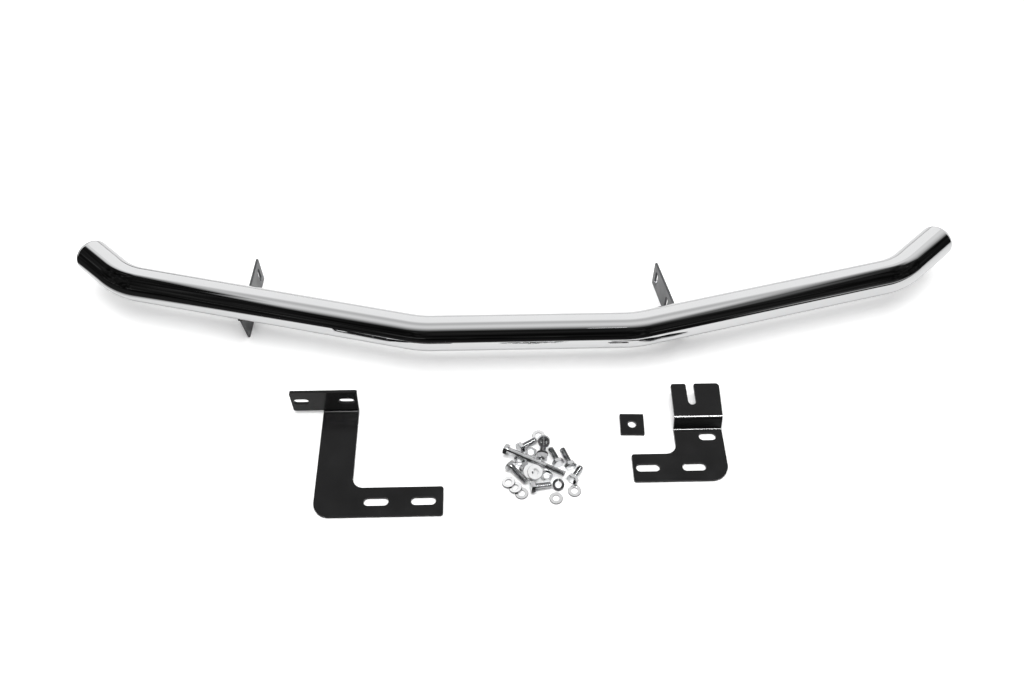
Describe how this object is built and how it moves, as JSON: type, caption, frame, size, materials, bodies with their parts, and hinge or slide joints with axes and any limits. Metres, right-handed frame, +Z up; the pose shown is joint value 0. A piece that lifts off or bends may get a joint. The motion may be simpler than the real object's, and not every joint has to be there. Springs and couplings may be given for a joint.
{
  "type": "front grille guard",
  "caption": "Polished bent-tube bar with welded slotted tabs, laid out with black slotted brackets, a square plate washer and loose hex bolts, nuts and washers.",
  "frame": {"origin": "bottom centre of the laid-out kit's box, on the floor", "axes": "+X along the bar, +Y towards the bar's rear, where the tabs and swept-back ends point, +Z up"},
  "size_m": [1.5524, 0.5116, 0.11],
  "materials": {
    "polished_steel": "mirror polished stainless tube",
    "weld_steel": "rippled weld bead",
    "satin_steel": "satin, brushed",
    "black_paint": "gloss black powder coat",
    "zinc_steel": "bright zinc plated",
    "dark_steel": "dark spring steel"
  },
  "bodies": {
    "bar": {"bar_tube": "polished_steel", "end_cap_left": "polished_steel", "end_cap_right": "polished_steel", "tab_left": "satin_steel", "tab_right": "satin_steel", "tab_weld_left": "weld_steel", "tab_weld_right": "weld_steel", "hex_bolt_1": "zinc_steel", "hex_bolt_3": "zinc_steel", "hex_bolt_4": "zinc_steel", "hex_bolt_5": "zinc_steel", "hex_bolt_6": "zinc_steel", "hex_bolt_7": "zinc_steel", "hex_bolt_8": "zinc_steel", "nut_1": "zinc_steel", "nut_2": "zinc_steel", "nut_3": "zinc_steel", "washer_3": "zinc_steel", "washer_4": "zinc_steel", "washer_5": "zinc_steel", "washer_6": "zinc_steel", "washer_2": "zinc_steel", "washer_1": "zinc_steel", "large_washer_1": "zinc_steel", "large_washer_2": "zinc_steel", "spring_washer_1": "dark_steel", "hex_bolt_2": "zinc_steel", "spring_washer_3": "dark_steel"},
    "left_bracket": {"left_bracket": "black_paint"},
    "right_bracket": {"right_bracket": "black_paint"},
    "plate_washer": {"plate_washer": "black_paint"},
    "long_bolt": {"hex_bolt_long": "zinc_steel"},
    "screw_washer": {"spring_washer_2": "dark_steel"},
    "screw_nut": {"nut_4": "zinc_steel"}
  },
  "joints": [
    {"name": "left_bracket_lift", "type": "slide", "parent": "bar", "child": "left_bracket", "axis": [0, 0, 1], "range_m": [0, 0.12]},
    {"name": "right_bracket_lift", "type": "slide", "parent": "bar", "child": "right_bracket", "axis": [0, 0, 1], "range_m": [0, 0.12]},
    {"name": "plate_washer_lift", "type": "slide", "parent": "bar", "child": "plate_washer", "axis": [0, 0, 1], "range_m": [0, 0.12]},
    {"name": "long_bolt_lift", "type": "slide", "parent": "bar", "child": "long_bolt", "axis": [0, 0, 1], "range_m": [0, 0.12]},
    {"name": "screw_travel", "type": "slide", "parent": "bar", "child": "screw_washer", "axis": [-0.1391, -0.9899, -0.0262], "range_m": [-0.00151, 0.00151]},
    {"name": "nut_spin", "type": "hinge", "parent": "screw_washer", "child": "screw_nut", "pos_m": [0.0313, -0.15504, 0.01029], "axis": [-0.1391, -0.9899, -0.0262], "range_deg": [-360, 360]}
  ],
  "couplings": [
    {"joint": "screw_travel", "follows": "nut_spin", "m_per_rad": 0.00023873}
  ]
}
